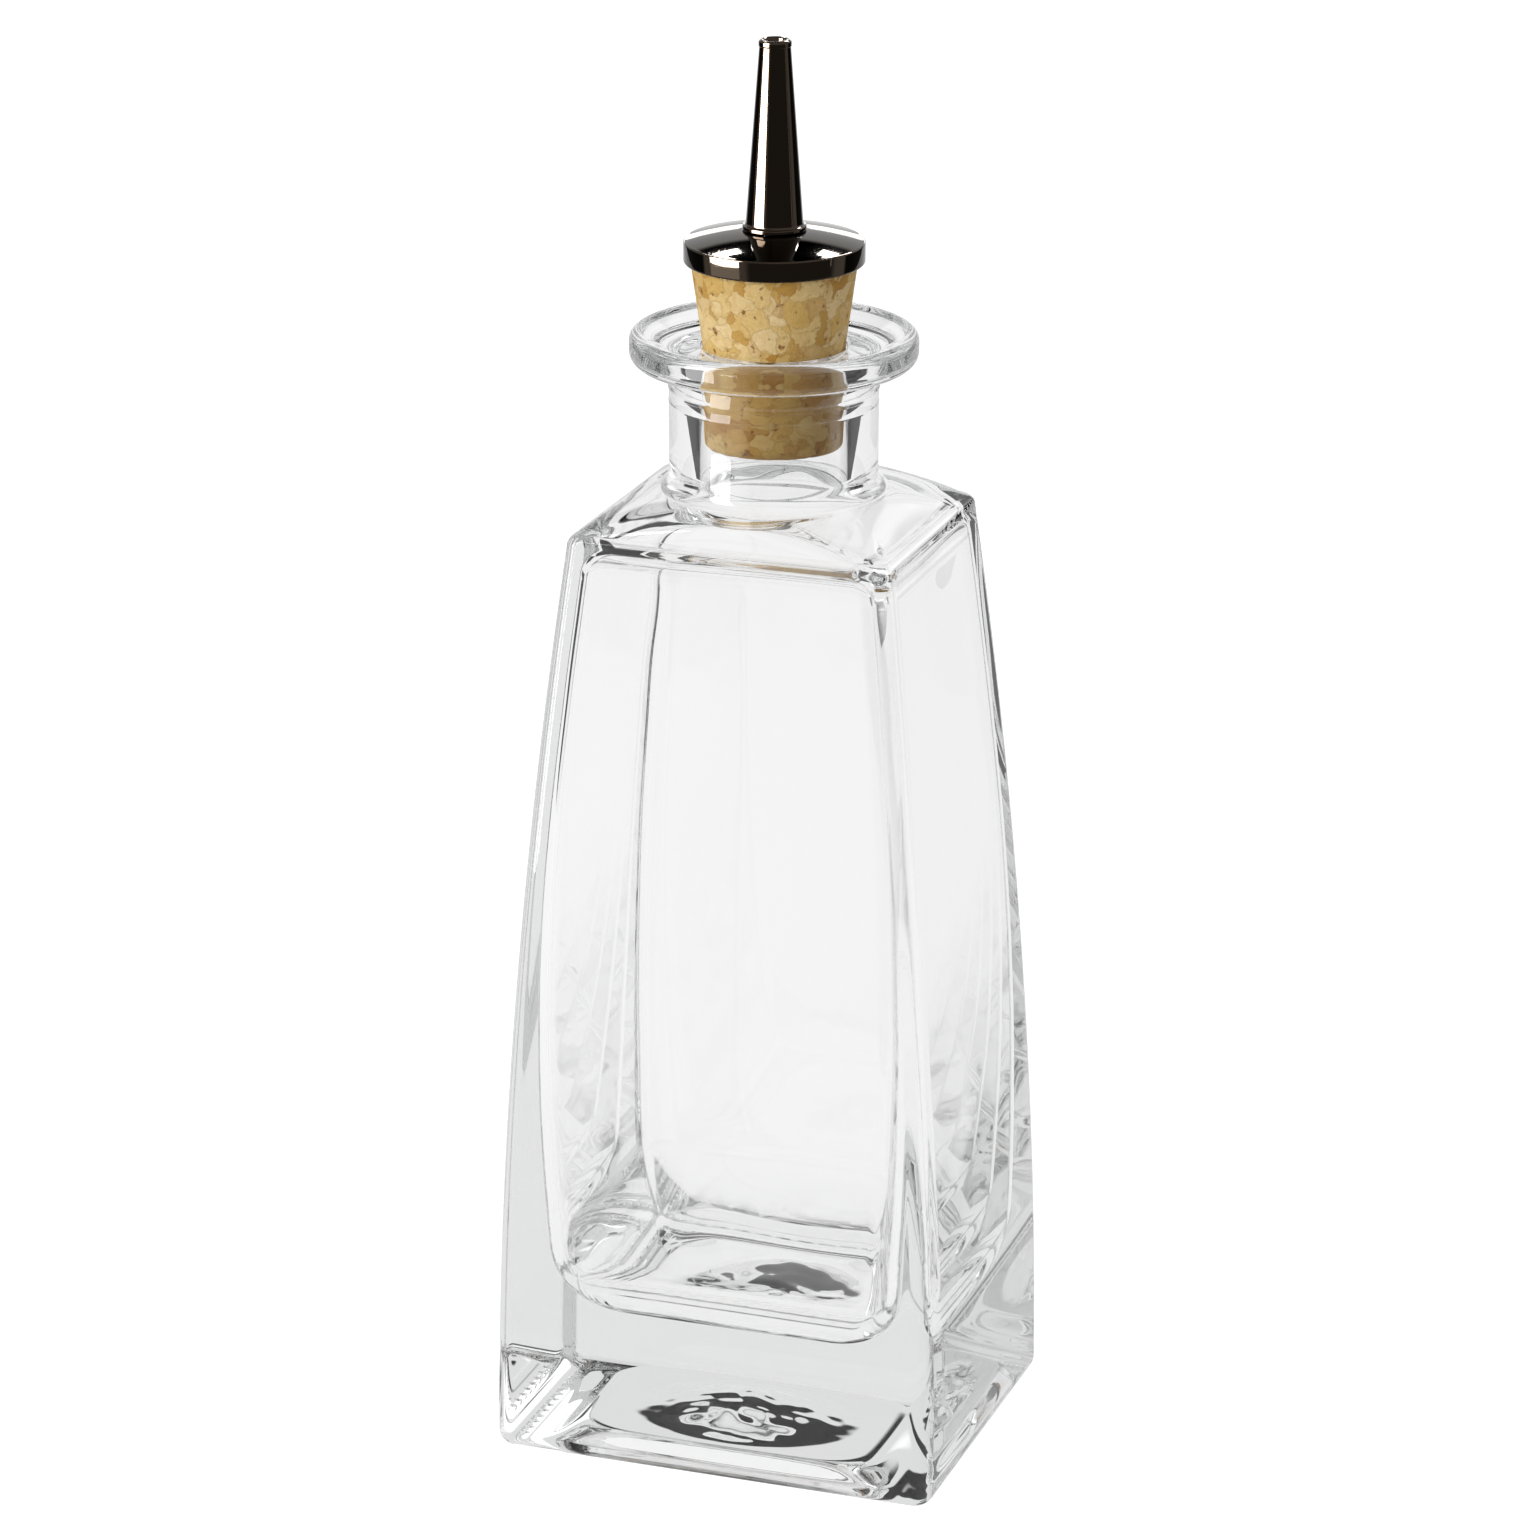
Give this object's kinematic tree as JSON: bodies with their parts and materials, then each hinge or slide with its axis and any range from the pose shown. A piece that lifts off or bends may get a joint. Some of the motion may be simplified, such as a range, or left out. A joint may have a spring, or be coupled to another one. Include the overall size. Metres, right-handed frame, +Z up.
{
  "type": "dash bottle",
  "caption": "Rectangular clear-glass dash bottle with leaning sides, thick foot and flanged lip, closed by a tapered cork that carries a black metal cap and tapered spout",
  "frame": {"origin": "middle of the rectangular base, at the height of the surface the bottle stands on", "axes": "+Z up along the neck, X along the wide front and Y along the narrower side"},
  "size_m": [0.0682, 0.056, 0.2111],
  "materials": {
    "clear_glass": "fire-polished moulded flint glass",
    "cork": "ground agglomerated cork granules",
    "black_nickel": "mirror-bright black nickel plate",
    "stem_steel": "drawn stainless tube"
  },
  "bodies": {
    "bottle": {"glass_bottle": "clear_glass"},
    "stopper": {"cork_stopper": "cork"},
    "pourer": {"pourer_cap": "black_nickel", "pourer_spout": "black_nickel", "pourer_stem": "stem_steel"}
  },
  "joints": [
    {"name": "stopper_lift", "type": "slide", "parent": "bottle", "child": "stopper", "axis": [0, 0, 1], "range_m": [0, 0.06]},
    {"name": "pourer_turn", "type": "hinge", "parent": "stopper", "child": "pourer", "pos_m": [0, 0, 0.179], "axis": [0, 0, 1], "continuous": true}
  ]
}
